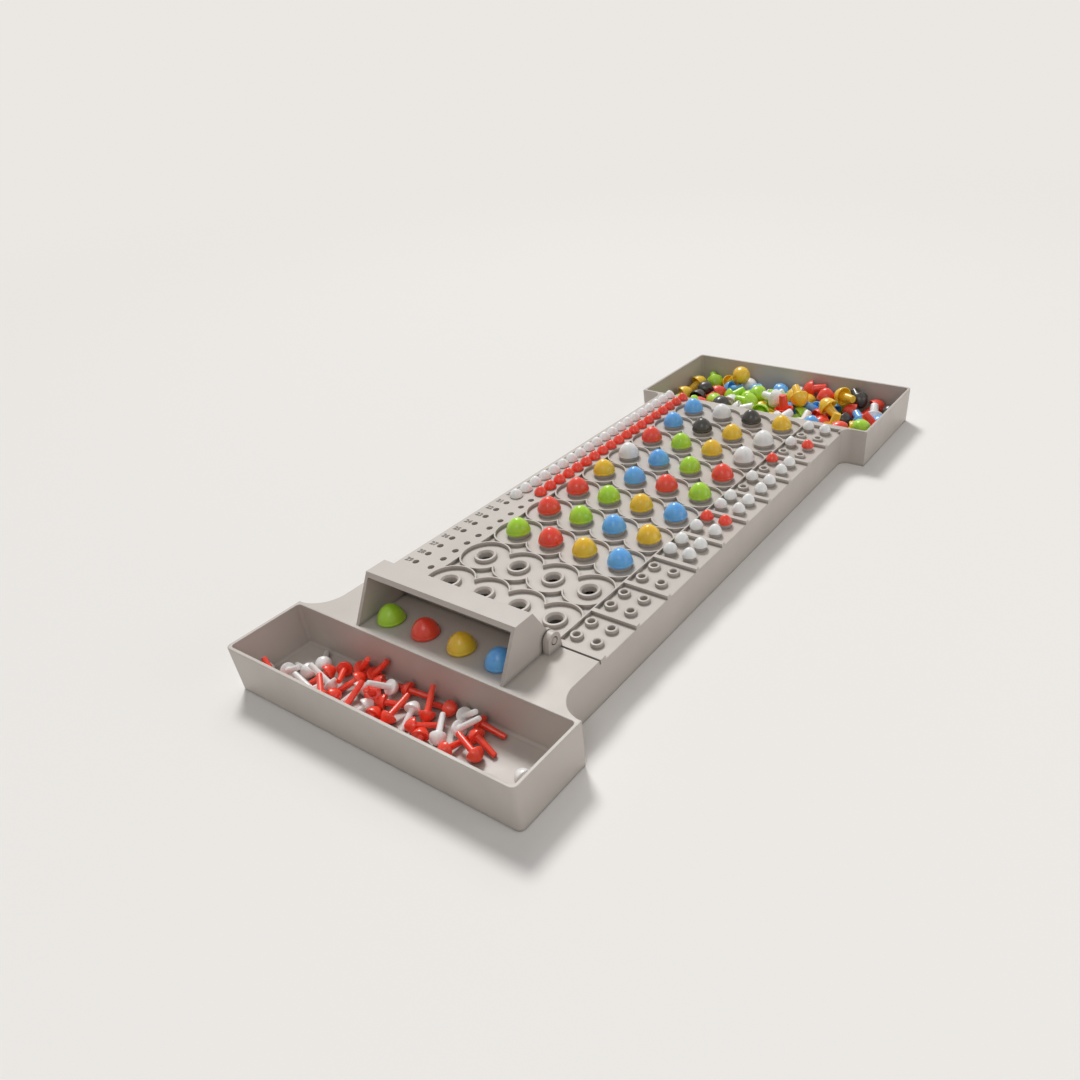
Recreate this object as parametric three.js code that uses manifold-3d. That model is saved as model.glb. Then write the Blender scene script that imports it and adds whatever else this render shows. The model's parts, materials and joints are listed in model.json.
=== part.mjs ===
import * as THREE from "three";
import { mergeVertices } from "three/addons/utils/BufferGeometryUtils.js";
import Module from "manifold-3d";

const wasm = await Module();
wasm.setup();

// Code breaking peg game. Millimetres, +Z up, +Y from the code maker's end to the far peg tray.
// The origin is the middle of the footprint, on the table.

// Code field: ten rows of four code holes
const codeCount = 4;
const rowCount = 10;
const codePitch = 20;
const sideMargin = 33;
const firstRowInset = 44.4;
const endMargin = 2.6;
const secretRowInset = 10.2;
const codeHoleRadius = 3.4;
const codeBossRadius = 5.3;

// Moulding
const boardHeight = 22;
const deckThickness = 3.2;
const wall = 1.6;
const wallLean = 0.8;

// Relief: each row is a chain of round hollows, with a four-sided pocket between the chains
const reliefDepth = 1.8;
const chainOverlap = 1.3;
const pocketRim = 0.8;
const rimOverlap = 0.2;

// Key panel: a group of four small holes beside each row
const keyGroupOffset = 19.6;
const keyGroupShift = 0.7;
const keySpacing = 10.1;
const keyHoleRadius = 1.55;
const keyBossRadius = 2.8;
const keyPanelOffset = 10.4;
const keyRib = 2.4;

// Score tracker: two columns of small holes, as long as the ten rows
const scoreCount = 30;
const scoreLead = 4.3;
const scoreOffset = 15;
const scoreSpacing = 9.8;
const scoreHoleRadius = 1.55;

// Peg trays at both ends
const trayOverhang = 14;
const nearTrayDepth = 37;
const farTrayDepth = 77;
const trayFloor = 1.6;
const trayCorner = 2.5;
const farFillet = 5.5;

// Code shield: a hood with an open front that tips back on two pins
const shieldSideGap = 2.8;
const shieldHeight = 20.5;
const shieldLean = 11;
const shieldTopDepth = 10;
const shieldRearRun = 7;
const shieldRearHeight = 8;
const shieldLip = 2;
const pivotHeight = 4.5;
const pivotInset = 0.5;
const pinRadius = 1.5;
const earThickness = 3.2;
const earWall = 2;

// Code peg and key peg
const codePegRadius = 6;
const codePegHeight = 7.3;
const codeFlange = 1.1;
const codeDomeStep = 0.3;
const codeStemLength = 8.5;
const keyPegRadius = 3.6;
const keyPegHeight = 4.2;
const keyCollar = 0.6;
const keyStemLength = 11;
const stemTaper = 0.4;

// Clearances, and how far a cutting tool runs past what it cuts
const fit = 0.3;
const seatGap = 0.1;
const heelGap = 0.5;
const overrun = 1;

// Facets
const codeSides = 8;
const keySides = 6;
const scoreSides = 5;
const pinSides = 12;
const domeRings = 3;
const arcSteps = 4;
const cornerSteps = 3;
const pocketSteps = 2;

// Derived places
const hollowRadius = codePitch / 2 + chainOverlap;
const rowPitch = 2 * (hollowRadius + pocketRim) - rimOverlap;
const scorePitch = (rowCount * rowPitch) / scoreCount;
const scoreStart = firstRowInset - scoreLead;
const codeSpan = (codeCount - 1) * codePitch;
const boardHalf = codeSpan / 2 + sideMargin;
const trayHalf = boardHalf + trayOverhang;
const deckLength = firstRowInset + (rowCount - 1) * rowPitch + rowPitch / 2 + endMargin;
const deckStart = (nearTrayDepth - deckLength - farTrayDepth) / 2;
const deckEnd = deckStart + deckLength;
const deckBottom = boardHeight - deckThickness;
const columnX = (column) => (column - 1) * codePitch - codeSpan / 2;
const rowY = (row) => deckStart + firstRowInset + (row - 1) * rowPitch;

// The board's satin grey and the pegs' six glossy colours
const boardRoughness = 0.5;
const pegRoughness = 0.25;
const plastic = (color, roughness) => new THREE.MeshStandardMaterial({ color, roughness, metalness: 0 });
const boardGrey = plastic("#bdb8b0", boardRoughness);
const pegColors = {
  green: plastic("#86bd2c", pegRoughness),
  red: plastic("#e8432f", pegRoughness),
  yellow: plastic("#f5b52a", pegRoughness),
  blue: plastic("#4a90e0", pegRoughness),
  white: plastic("#f2f2f0", pegRoughness),
  black: plastic("#2b2b2a", pegRoughness),
};

// A closed three.js geometry as a solid that can be cut and joined
function solidOf(geometry) {
  const bare = geometry.clone();
  bare.deleteAttribute("normal");
  bare.deleteAttribute("uv");
  const merged = mergeVertices(bare);
  const triVerts = new Uint32Array(merged.index.array);
  const vertProperties = merged.attributes.position.array;
  return new wasm.Manifold(new wasm.Mesh({ numProp: 3, vertProperties, triVerts }));
}

function geometryOf(solid) {
  const { vertProperties, triVerts } = solid.getMesh();
  const geometry = new THREE.BufferGeometry();
  geometry.setAttribute("position", new THREE.BufferAttribute(vertProperties, 3));
  geometry.setIndex(new THREE.BufferAttribute(triVerts, 1));
  geometry.computeVertexNormals();
  return geometry;
}

function arcPoints(x, y, radius, from, to, steps) {
  return Array.from({ length: steps + 1 }, (_, i) => {
    const angle = from + ((to - from) * i) / steps;
    return new THREE.Vector2(x + radius * Math.cos(angle), y + radius * Math.sin(angle));
  });
}

// A circle starts at the top, so that its corners line up with those of a turned peg
function circlePoints(x, y, radius, sides) {
  return arcPoints(x, y, radius, Math.PI / 2, Math.PI / 2 + 2 * Math.PI, sides).slice(0, -1);
}

function shapeOf(points, islands = []) {
  const shape = new THREE.Shape(points);
  shape.holes = islands.map((island) => new THREE.Path(island));
  return shape;
}

function slab(shapes, bottom, height) {
  const geometry = new THREE.ExtrudeGeometry(shapes, { depth: height, bevelEnabled: false });
  return geometry.translate(0, 0, bottom);
}

// An outline drawn in the Y-Z plane, extruded along X from one side to the other
function crossPiece(points, from, width) {
  const geometry = new THREE.ExtrudeGeometry(shapeOf(points), { depth: width, bevelEnabled: false });
  geometry.rotateY(Math.PI / 2);
  geometry.rotateX(Math.PI / 2);
  return geometry.translate(from, 0, 0);
}

// The chain of overlapping circles round one row's holes, with a raised ring left at each hole.
// The last circle stops short of the key panel.
function rowHollow(y) {
  const crossing = Math.acos(codePitch / 2 / hollowRadius);
  const end = Math.acos(Math.min(1, (keyPanelOffset - pocketRim) / hollowRadius));
  const columns = Array.from({ length: codeCount }, (_, i) => i + 1);
  const nearSide = columns.flatMap((column) => {
    const from = column === 1 ? -Math.PI : crossing - Math.PI;
    const to = column === codeCount ? -end : -crossing;
    return arcPoints(columnX(column), y, hollowRadius, from, to, arcSteps).slice(1);
  });
  const farSide = columns.toReversed().flatMap((column) => {
    const from = column === codeCount ? end : crossing;
    const to = column === 1 ? Math.PI : Math.PI - crossing;
    const start = column === codeCount ? 0 : 1;
    return arcPoints(columnX(column), y, hollowRadius, from, to, arcSteps).slice(start);
  });
  const rings = columns.map((column) => circlePoints(columnX(column), y, codeBossRadius, codeSides));
  return shapeOf([...nearSide, ...farSide], rings);
}

// The pocket between four hollows: each side follows one hollow's edge, a thin rim away
function pocket(column, y) {
  const radius = hollowRadius + pocketRim;
  const x = columnX(column);
  const side = Math.acos(rowPitch / 2 / radius);
  const top = Math.asin(codePitch / 2 / radius);
  const quarter = Math.PI / 2;
  return shapeOf([
    ...arcPoints(x, y, radius, quarter - side, quarter - top, pocketSteps).slice(1),
    ...arcPoints(x + codePitch, y, radius, quarter + top, quarter + side, pocketSteps).slice(1),
    ...arcPoints(x + codePitch, y + rowPitch, radius, -quarter - side, -quarter - top, pocketSteps).slice(1),
    ...arcPoints(x, y + rowPitch, radius, top - quarter, side - quarter, pocketSteps).slice(1),
  ]);
}

// The half pocket between the last circles of two rows and the key panel
function endPocket(y) {
  const radius = hollowRadius + pocketRim;
  const x = columnX(codeCount);
  const side = Math.acos(rowPitch / 2 / radius);
  const end = Math.acos((keyPanelOffset - pocketRim) / radius);
  const quarter = Math.PI / 2;
  return shapeOf([
    ...arcPoints(x, y, radius, quarter - side, end, pocketSteps),
    ...arcPoints(x, y + rowPitch, radius, -end, side - quarter, pocketSteps).slice(0, -1),
  ]);
}

function keyPlaces(row) {
  const x = columnX(codeCount) + keyGroupOffset;
  const y = rowY(row) + keyGroupShift;
  const half = keySpacing / 2;
  return [
    [x - half, y + half],
    [x + half, y + half],
    [x - half, y - half],
    [x + half, y - half],
  ];
}

// The hollow of one key group: open at the board's side, with a thin rib towards the next group
function keyHollow(row) {
  const left = columnX(codeCount) + keyPanelOffset;
  const right = boardHalf + overrun;
  const near = rowY(row) + keyGroupShift - (rowPitch - keyRib) / 2;
  const far = near + rowPitch - keyRib;
  const corners = [
    new THREE.Vector2(left, near),
    new THREE.Vector2(right, near),
    new THREE.Vector2(right, far),
    new THREE.Vector2(left, far),
  ];
  const rings = keyPlaces(row).map(([x, y]) => circlePoints(x, y, keyBossRadius, keySides));
  return shapeOf(corners, rings);
}

// Where the hood turns, from the front edge of the deck
const shieldDepth = shieldLean + shieldTopDepth + shieldRearRun;
const pivotY = deckStart + shieldDepth - pivotInset;
const pivotZ = boardHeight + pivotHeight;
const shieldHalf = codeSpan / 2 + codePegRadius + shieldSideGap + wall;
const lugRadius = pivotHeight - heelGap;
const boreRadius = pinRadius + fit;

function disc(y, z, radius, from, width, sides) {
  return crossPiece(circlePoints(y, z, radius, sides), from, width);
}

// A bearing ear stands on the deck at each end of the hood
function ear(side) {
  const radius = boreRadius + earWall;
  const inner = shieldHalf + fit;
  const from = side > 0 ? inner : -inner - earThickness;
  const outline = [
    new THREE.Vector2(pivotY - radius, boardHeight),
    new THREE.Vector2(pivotY + radius, boardHeight),
    ...arcPoints(pivotY, pivotZ, radius, 0, Math.PI, pinSides / 2),
  ];
  const bore = disc(pivotY, pivotZ, boreRadius, from - overrun, earThickness + 2 * overrun, pinSides);
  return geometryOf(solidOf(crossPiece(outline, from, earThickness)).subtract(solidOf(bore)));
}

function playDeck() {
  const rows = Array.from({ length: rowCount }, (_, i) => i + 1);
  const gaps = rows.slice(0, -1);
  const columns = Array.from({ length: codeCount }, (_, i) => i + 1);
  const outline = [
    new THREE.Vector2(-boardHalf, deckStart),
    new THREE.Vector2(boardHalf, deckStart),
    new THREE.Vector2(boardHalf, deckEnd),
    new THREE.Vector2(-boardHalf, deckEnd),
  ];
  const hollows = rows.map((row) => rowHollow(rowY(row)));
  const pockets = gaps.flatMap((row) => columns.slice(0, -1).map((column) => pocket(column, rowY(row))));
  const endPockets = gaps.map((row) => endPocket(rowY(row)));
  const keyHollows = rows.map((row) => keyHollow(row));
  const rowPlaces = [deckStart + secretRowInset, ...rows.map(rowY)];
  const codeHoles = rowPlaces.flatMap((y) =>
    columns.map((column) => circlePoints(columnX(column), y, codeHoleRadius, codeSides)),
  );
  const keyHoles = rows.flatMap((row) =>
    keyPlaces(row).map(([x, y]) => circlePoints(x, y, keyHoleRadius, keySides)),
  );
  const scoreHoles = Array.from({ length: 2 * scoreCount }, (_, i) => {
    const x = columnX(1) - scoreOffset - (i % 2) * scoreSpacing;
    const y = deckStart + scoreStart + Math.floor(i / 2) * scorePitch;
    return circlePoints(x, y, scoreHoleRadius, scoreSides);
  });
  const bores = [...codeHoles, ...keyHoles, ...scoreHoles].map((points) => shapeOf(points));
  const sunk = [...hollows, ...pockets, ...endPockets, ...keyHollows];
  const relief = slab(sunk, boardHeight - reliefDepth, reliefDepth + overrun);
  const deck = solidOf(slab(shapeOf(outline), deckBottom, deckThickness));
  const holes = slab(bores, deckBottom - overrun, deckThickness + 2 * overrun);
  return geometryOf(deck.subtract(solidOf(relief).add(solidOf(holes))));
}

// A side wall under the deck, leaning in towards the table
function sideWall(side) {
  const outline = [
    new THREE.Vector2(side * boardHalf, deckBottom),
    new THREE.Vector2(side * (boardHalf - wall), deckBottom),
    new THREE.Vector2(side * (boardHalf - wall - wallLean), 0),
    new THREE.Vector2(side * (boardHalf - wallLean), 0),
  ];
  const geometry = new THREE.ExtrudeGeometry(shapeOf(outline), { depth: deckLength, bevelEnabled: false });
  geometry.rotateX(Math.PI / 2);
  return geometry.translate(0, deckEnd, 0);
}

// Draws the foot of a tray's walls in by the wall's lean
function leanIn(geometry, edge, side, depth) {
  const position = geometry.attributes.position;
  for (let i = 0; i < position.count; i += 1) {
    if (position.getZ(i) < boardHeight / 2) {
      const x = position.getX(i);
      const y = position.getY(i);
      const reach = Math.max(0, (Math.abs(x) - boardHalf) / trayOverhang);
      position.setX(i, x - Math.sign(x) * wallLean * reach);
      if (side * (y - edge) > depth / 2) position.setY(i, y - side * wallLean);
    }
  }
  return geometry;
}

// The tray's plan, with round corners, from its wall at the board out to its end wall
function trayPlan(edge, side, depth, inset, boardCorner) {
  const half = trayHalf - inset;
  const corner = trayCorner - Math.min(inset, trayCorner / 2);
  const inner = edge + side * inset;
  const outer = edge + side * (depth - inset);
  const corners = [
    [half, inner, -side, boardCorner],
    [half, outer, side, corner],
    [-half, outer, side, corner],
    [-half, inner, -side, boardCorner],
  ];
  return corners.flatMap(([x, y, turn, radius], i) => {
    const across = Math.sign(x);
    if (!radius) return [new THREE.Vector2(x, y)];
    const points = arcPoints(0, 0, radius, 0, Math.PI / 2, cornerSteps).map(
      (p) => new THREE.Vector2(x + across * (p.x - radius), y + turn * (p.y - radius)),
    );
    return i % 2 ? points : points.reverse();
  });
}

// The hollow curve that carries the board's side out to a tray
function wingPlan(edge, side, across, radius, inset) {
  const x = boardHalf + radius;
  const y = edge - side * radius;
  const arc = radius + inset;
  const limit = Math.acos(radius / arc);
  const curve = arcPoints(0, 0, arc, Math.PI / 2 + limit, Math.PI - limit, 2 * arcSteps).map(
    (p) => new THREE.Vector2(across * (x + p.x), y + side * p.y),
  );
  const root = edge + side * wall * (inset ? 0 : 1);
  return [
    new THREE.Vector2(across * boardHalf, root),
    new THREE.Vector2(curve[0].x, root),
    ...(inset ? curve.slice(1) : curve),
  ];
}

function tray(edge, side, depth, fillet) {
  const outside = slab(shapeOf(trayPlan(edge, side, depth, 0, 0)), 0, boardHeight);
  const inside = slab(shapeOf(trayPlan(edge, side, depth, wall, trayCorner - wall / 2)), 0, boardHeight);
  let body = solidOf(leanIn(outside, edge, side, depth));
  [1, -1].forEach((across) => {
    const wing = slab(shapeOf(wingPlan(edge, side, across, fillet, 0)), 0, boardHeight);
    body = body.add(solidOf(leanIn(wing, edge, side, depth)));
  });
  leanIn(inside, edge, side, depth).translate(0, 0, trayFloor);
  body = body.subtract(solidOf(inside));
  const reach = fillet - Math.sqrt((fillet + wall) ** 2 - fillet ** 2);
  if (reach > wall) {
    [1, -1].forEach((across) => {
      const plan = shapeOf(wingPlan(edge, side, across, fillet, wall));
      body = body.subtract(solidOf(slab(plan, -overrun, boardHeight + overrun - wall)));
    });
  }
  return geometryOf(body);
}

// The hood: a bent roof and two end panels, each with a lug and a pin at its rear foot
function codeShield() {
  const front = deckStart;
  const rear = deckStart + shieldDepth;
  const floor = boardHeight;
  const roof = boardHeight + shieldHeight;
  const ridge = front + shieldLean + shieldTopDepth;
  const heel = pivotY - pivotHeight;
  const outline = [
    new THREE.Vector2(front, floor),
    new THREE.Vector2(heel, floor),
    new THREE.Vector2(heel + heelGap, floor + heelGap),
    new THREE.Vector2(rear, floor + heelGap),
    new THREE.Vector2(rear, floor + shieldRearHeight),
    new THREE.Vector2(ridge, roof),
    new THREE.Vector2(front + shieldLean, roof),
  ];
  const slope = Math.hypot(shieldRearRun, shieldHeight - shieldRearHeight);
  const slopeShift = (wall * shieldRearRun) / slope;
  const lean = Math.hypot(shieldLean, shieldHeight);
  const lipBack = shieldLean + (wall * lean) / shieldHeight;
  const inside = [
    new THREE.Vector2(front - overrun, floor - overrun),
    new THREE.Vector2(rear - wall, floor - overrun),
    new THREE.Vector2(rear - wall, floor + shieldRearHeight - slopeShift),
    new THREE.Vector2(ridge - slopeShift, roof - wall),
    new THREE.Vector2(front + lipBack, roof - wall),
    new THREE.Vector2(front + lipBack, roof - shieldLip),
    new THREE.Vector2(front - overrun, roof - shieldLip),
  ];
  let hood = solidOf(crossPiece(outline, -shieldHalf, 2 * shieldHalf));
  [shieldHalf - wall, -shieldHalf].forEach((from) => {
    hood = hood.add(solidOf(disc(pivotY, pivotZ, lugRadius, from, wall, pinSides)));
  });
  hood = hood.subtract(solidOf(crossPiece(inside, wall - shieldHalf, 2 * (shieldHalf - wall))));
  const pinLength = fit + earThickness;
  [shieldHalf - wall / 2, -shieldHalf - pinLength].forEach((from) => {
    hood = hood.add(solidOf(disc(pivotY, pivotZ, pinRadius, from, wall / 2 + pinLength, pinSides)));
  });
  return geometryOf(hood);
}

// A turned peg with its head's underside at zero: a tapered stem below, a domed head above
function peg(headRadius, headHeight, rim, step, stemRadius, stemLength, sides) {
  const dome = arcPoints(0, rim, 1, 0, Math.PI / 2, domeRings).map(
    (p) => new THREE.Vector2((headRadius - step) * p.x, rim + (headHeight - rim) * (p.y - rim)),
  );
  dome[domeRings].x = 0;
  const profile = [
    new THREE.Vector2(0, -stemLength),
    new THREE.Vector2(stemRadius - stemTaper, -stemLength),
    new THREE.Vector2(stemRadius, 0),
    new THREE.Vector2(headRadius, 0),
    ...(step ? [new THREE.Vector2(headRadius, rim)] : []),
    ...dome,
  ];
  const geometry = new THREE.LatheGeometry(profile, sides);
  return geometryOf(solidOf(geometry.rotateX(Math.PI / 2)));
}

const game = new THREE.Group();
const seatZ = boardHeight + seatGap;

function addPiece(name, geometry, material, x = 0, y = 0, z = 0) {
  const mesh = new THREE.Mesh(geometry, material);
  mesh.name = name;
  mesh.position.set(x, y, z);
  game.add(mesh);
}

addPiece("play_deck", playDeck(), boardGrey);
addPiece("side_wall_left", sideWall(-1), boardGrey);
addPiece("side_wall_right", sideWall(1), boardGrey);
addPiece("near_tray", tray(deckStart, -1, nearTrayDepth, trayOverhang), boardGrey);
addPiece("far_tray", tray(deckEnd, 1, farTrayDepth, farFillet), boardGrey);
addPiece("hinge_ear_left", ear(-1), boardGrey);
addPiece("hinge_ear_right", ear(1), boardGrey);
addPiece("code_shield", codeShield(), boardGrey);

// The secret code behind the shield, then the guesses of rows 3 to 10
const secretCode = ["green", "red", "yellow", "blue"];
const guesses = {
  3: ["green", "red", "yellow", "blue"],
  4: ["red", "green", "blue", "yellow"],
  5: ["red", "green", "yellow", "blue"],
  6: ["yellow", "blue", "red", "green"],
  7: ["white", "blue", "green", "red"],
  8: ["red", "green", "yellow", "white"],
  9: ["blue", "black", "yellow", "white"],
  10: ["blue", "white", "black", "yellow"],
};
const codePeg = peg(
  codePegRadius,
  codePegHeight,
  codeFlange,
  codeDomeStep,
  codeHoleRadius - fit,
  codeStemLength,
  codeSides,
);
secretCode.forEach((color, i) => {
  const y = deckStart + secretRowInset;
  addPiece(`secret_peg_${i + 1}`, codePeg, pegColors[color], columnX(i + 1), y, seatZ);
});
Object.entries(guesses).forEach(([row, colors]) => {
  colors.forEach((color, i) => {
    const name = `code_peg_${row}_${i + 1}`;
    addPiece(name, codePeg, pegColors[color], columnX(i + 1), rowY(Number(row)), seatZ);
  });
});

// The answers of rows 4 to 7: far left, far right, near left and near right hole, or empty
const answers = {
  4: ["white", "white", "white", "white"],
  5: ["red", "red", "white", "white"],
  6: ["white", "white", "white", "white"],
  7: ["white", "white", "", "white"],
};
const keyPeg = peg(keyPegRadius, keyPegHeight, keyCollar, 0, keyHoleRadius - fit, keyStemLength, keySides);
Object.entries(answers).forEach(([row, colors]) => {
  keyPlaces(Number(row)).forEach(([x, y], i) => {
    if (colors[i]) addPiece(`key_peg_${row}_${i + 1}`, keyPeg, pegColors[colors[i]], x, y, seatZ);
  });
});

export default game;
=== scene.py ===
import json
import math
import random

import bmesh
import bpy
from mathutils import Matrix, Vector

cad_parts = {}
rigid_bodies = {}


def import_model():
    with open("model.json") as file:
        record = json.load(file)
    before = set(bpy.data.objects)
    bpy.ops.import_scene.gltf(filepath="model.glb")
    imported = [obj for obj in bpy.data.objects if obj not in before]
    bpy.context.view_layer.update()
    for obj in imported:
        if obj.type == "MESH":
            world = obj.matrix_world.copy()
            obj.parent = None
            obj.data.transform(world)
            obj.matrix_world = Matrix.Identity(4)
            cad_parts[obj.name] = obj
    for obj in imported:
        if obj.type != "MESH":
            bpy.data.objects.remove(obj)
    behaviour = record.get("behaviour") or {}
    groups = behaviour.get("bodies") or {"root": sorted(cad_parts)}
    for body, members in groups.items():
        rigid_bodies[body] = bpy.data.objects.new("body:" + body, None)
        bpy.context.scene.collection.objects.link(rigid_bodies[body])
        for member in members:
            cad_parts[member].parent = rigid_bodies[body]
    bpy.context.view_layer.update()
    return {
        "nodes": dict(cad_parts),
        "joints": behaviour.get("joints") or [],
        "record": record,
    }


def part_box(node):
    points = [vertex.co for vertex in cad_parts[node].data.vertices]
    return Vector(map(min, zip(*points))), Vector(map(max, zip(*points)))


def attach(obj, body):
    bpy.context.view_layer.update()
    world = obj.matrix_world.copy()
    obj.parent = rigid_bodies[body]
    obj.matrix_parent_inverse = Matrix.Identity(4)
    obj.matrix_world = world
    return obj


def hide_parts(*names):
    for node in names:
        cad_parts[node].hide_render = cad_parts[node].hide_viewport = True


# Code breaking peg game: board with two trays, hinged hood, code pegs, key pegs, score pegs
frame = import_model()
mm = 0.001
scene = bpy.context.scene
print("frame in:", len(frame["nodes"]), "nodes")


# Camera, where the picture was taken from

camera = {
    "target": (24.35, -28.7, 22),  # mm, on the deck
    "distance": 430.7,
    "azimuth": 34.29,
    "elevation": 29.91,
    "roll": -3.32,
    "lens": 29.58,
    "shift": (-0.1047, -0.0148),
}


def aimCamera(look):
    turn, rise = math.radians(look["azimuth"]), math.radians(look["elevation"])
    ahead = Vector((-math.sin(turn) * math.cos(rise), math.cos(turn) * math.cos(rise), -math.sin(rise)))
    data = bpy.data.cameras.new("gameCamera")
    data.sensor_width = 36
    data.lens = look["lens"]
    data.shift_x, data.shift_y = look["shift"]
    data.clip_start = 0.01
    eye = bpy.data.objects.new("gameCamera", data)
    scene.collection.objects.link(eye)
    eye.location = (Vector(look["target"]) - ahead * look["distance"]) * mm
    level = ahead.to_track_quat("-Z", "Y").to_matrix()
    eye.rotation_euler = (level @ Matrix.Rotation(math.radians(look["roll"]), 3, "Z")).to_euler()
    scene.camera = eye


aimCamera(camera)
print("camera aimed")


# Places, read off the frame

def middle(node):
    low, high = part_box(node)
    return (low + high) / 2


deckLow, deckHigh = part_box("play_deck")
landZ = deckHigh.z
columnXs = [middle(f"code_peg_10_{i}").x for i in range(1, 5)]
lastRowY = middle("code_peg_10_1").y
rowPitch = (lastRowY - middle("code_peg_3_1").y) / 7
rowYs = {row: lastRowY - (10 - row) * rowPitch for row in range(1, 11)}
secretY = middle("secret_peg_1").y
farLeft, nearRight = middle("key_peg_4_1"), middle("key_peg_4_4")
keyMiddle = (farLeft + nearRight) / 2
keyShift = keyMiddle.y - rowYs[4]
keySpacing = nearRight.x - farLeft.x
keyGroups = {
    row: [
        (keyMiddle.x + (across - 0.5) * keySpacing, y + keyShift + (0.5 - down) * keySpacing)
        for down in (0, 1)
        for across in (0, 1)
    ]
    for row, y in rowYs.items()
}
scorePitch = 10 * rowPitch / 30
hinge = Vector(frame["joints"][0]["pos_m"])


# Colours and finishes

def shade(red, green, blue):
    # a colour as seen on screen, 0 to 255, turned into the shader's own scale
    seen = [value / 255 for value in (red, green, blue)]
    return tuple(v / 12.92 if v < 0.0404 else ((v + 0.055) / 1.055) ** 2.4 for v in seen) + (1,)


def newPlastic(name, look, tones=None):
    # two tones that drift into each other, an uneven gloss, and the mould's fine grain
    material = bpy.data.materials.new(name)
    material.use_nodes = True
    nodes, links = material.node_tree.nodes, material.node_tree.links
    shader = nodes["Principled BSDF"]
    place = nodes.new("ShaderNodeTexCoord")

    def noise(size, detail):
        grain = nodes.new("ShaderNodeTexNoise")
        grain.inputs["Scale"].default_value = 1 / size
        grain.inputs["Detail"].default_value = detail
        links.new(place.outputs["Object"], grain.inputs["Vector"])
        return grain

    # slow change of tone, as where the melt flowed
    flow = noise(look["flow"], 3)
    ramp = nodes.new("ShaderNodeValToRGB")
    tones = tones or (look["dark"], look["light"])
    for stop, position, tone in zip(ramp.color_ramp.elements, (0.3, 0.7), tones):
        stop.position = position
        stop.color = tone
    links.new(flow.outputs["Fac"], ramp.inputs["Fac"])
    links.new(ramp.outputs["Color"], shader.inputs["Base Color"])

    # gloss that varies a little, and the grain that the mould leaves
    patch = noise(look["flow"] / 3, 4)
    gloss = nodes.new("ShaderNodeMapRange")
    gloss.inputs["From Min"].default_value = 0.3
    gloss.inputs["From Max"].default_value = 0.7
    gloss.inputs["To Min"].default_value = look["roughness"] - look["unevenness"]
    gloss.inputs["To Max"].default_value = look["roughness"] + look["unevenness"]
    links.new(patch.outputs["Fac"], gloss.inputs["Value"])
    links.new(gloss.outputs["Result"], shader.inputs["Roughness"])
    grain = noise(look["grainSize"], 6)
    bump = nodes.new("ShaderNodeBump")
    bump.inputs["Strength"].default_value = 0.6
    bump.inputs["Distance"].default_value = look["grainHeight"]
    links.new(grain.outputs["Fac"], bump.inputs["Height"])
    links.new(bump.outputs["Normal"], shader.inputs["Normal"])
    if "specular" in look:
        shader.inputs["Specular IOR Level"].default_value = look["specular"]
    return material


boardLook = {
    "light": shade(202, 194, 186),
    "dark": shade(194, 186, 178),
    "flow": 30 * mm,
    "roughness": 0.4,
    "unevenness": 0.05,
    "specular": 0.35,
    "grainHeight": 0.03 * mm,
    "grainSize": 0.5 * mm,
    "creviceReach": 2.2 * mm,
    "creviceShade": 0.55,
}
# painted shade: the board's plastic in a darker grey, for the insides of the trays and the hood
shadedInsideLook = {
    "light": shade(128, 127, 119),
    "dark": shade(118, 118, 111),
    "flow": 24 * mm,
    "roughness": 0.2,
    "unevenness": 0.04,
    "grainHeight": 0.01 * mm,
    "grainSize": 1.2 * mm,
}
# painted shade: the tray floors in a darker grey still, with little gloss
shadedTrayFloorLook = {
    "light": shade(112, 111, 104),
    "dark": shade(102, 101, 95),
    "flow": 20 * mm,
    "roughness": 0.6,
    "unevenness": 0.06,
    "specular": 0.12,
    "grainHeight": 0.02 * mm,
    "grainSize": 0.8 * mm,
}


def paintCreviceShade(material, reach, darkest):
    # painted shade: the inner corners and hollows of the moulding are darkened where little light reaches in,
    # by ambient occlusion
    nodes, links = material.node_tree.nodes, material.node_tree.links
    shader = nodes["Principled BSDF"]
    colour = shader.inputs["Base Color"].links[0].from_socket
    nook = nodes.new("ShaderNodeAmbientOcclusion")
    nook.samples = 6
    nook.inputs["Distance"].default_value = reach
    depth = nodes.new("ShaderNodeMapRange")
    depth.inputs["From Min"].default_value = 0.35
    depth.inputs["From Max"].default_value = 0.95
    depth.inputs["To Min"].default_value = darkest
    links.new(nook.outputs["AO"], depth.inputs["Value"])
    darken = nodes.new("ShaderNodeVectorMath")
    darken.operation = "SCALE"
    links.new(colour, darken.inputs[0])
    links.new(depth.outputs["Result"], darken.inputs["Scale"])
    links.new(darken.outputs["Vector"], shader.inputs["Base Color"])


boardPlastic = newPlastic("boardPlastic", boardLook)
# painted shade in the board's corners and hollows
paintCreviceShade(boardPlastic, boardLook["creviceReach"], boardLook["creviceShade"])
# the hollow side of the moulding is polished, so it mirrors the pegs a little; its darker grey is painted
# shade for the insides of the trays and the hood
shadedInsidePlastic = newPlastic("shadedInsidePlastic", shadedInsideLook)
# painted shade: the tray floors are darker still
shadedTrayFloorPlastic = newPlastic("shadedTrayFloorPlastic", shadedTrayFloorLook)

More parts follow.
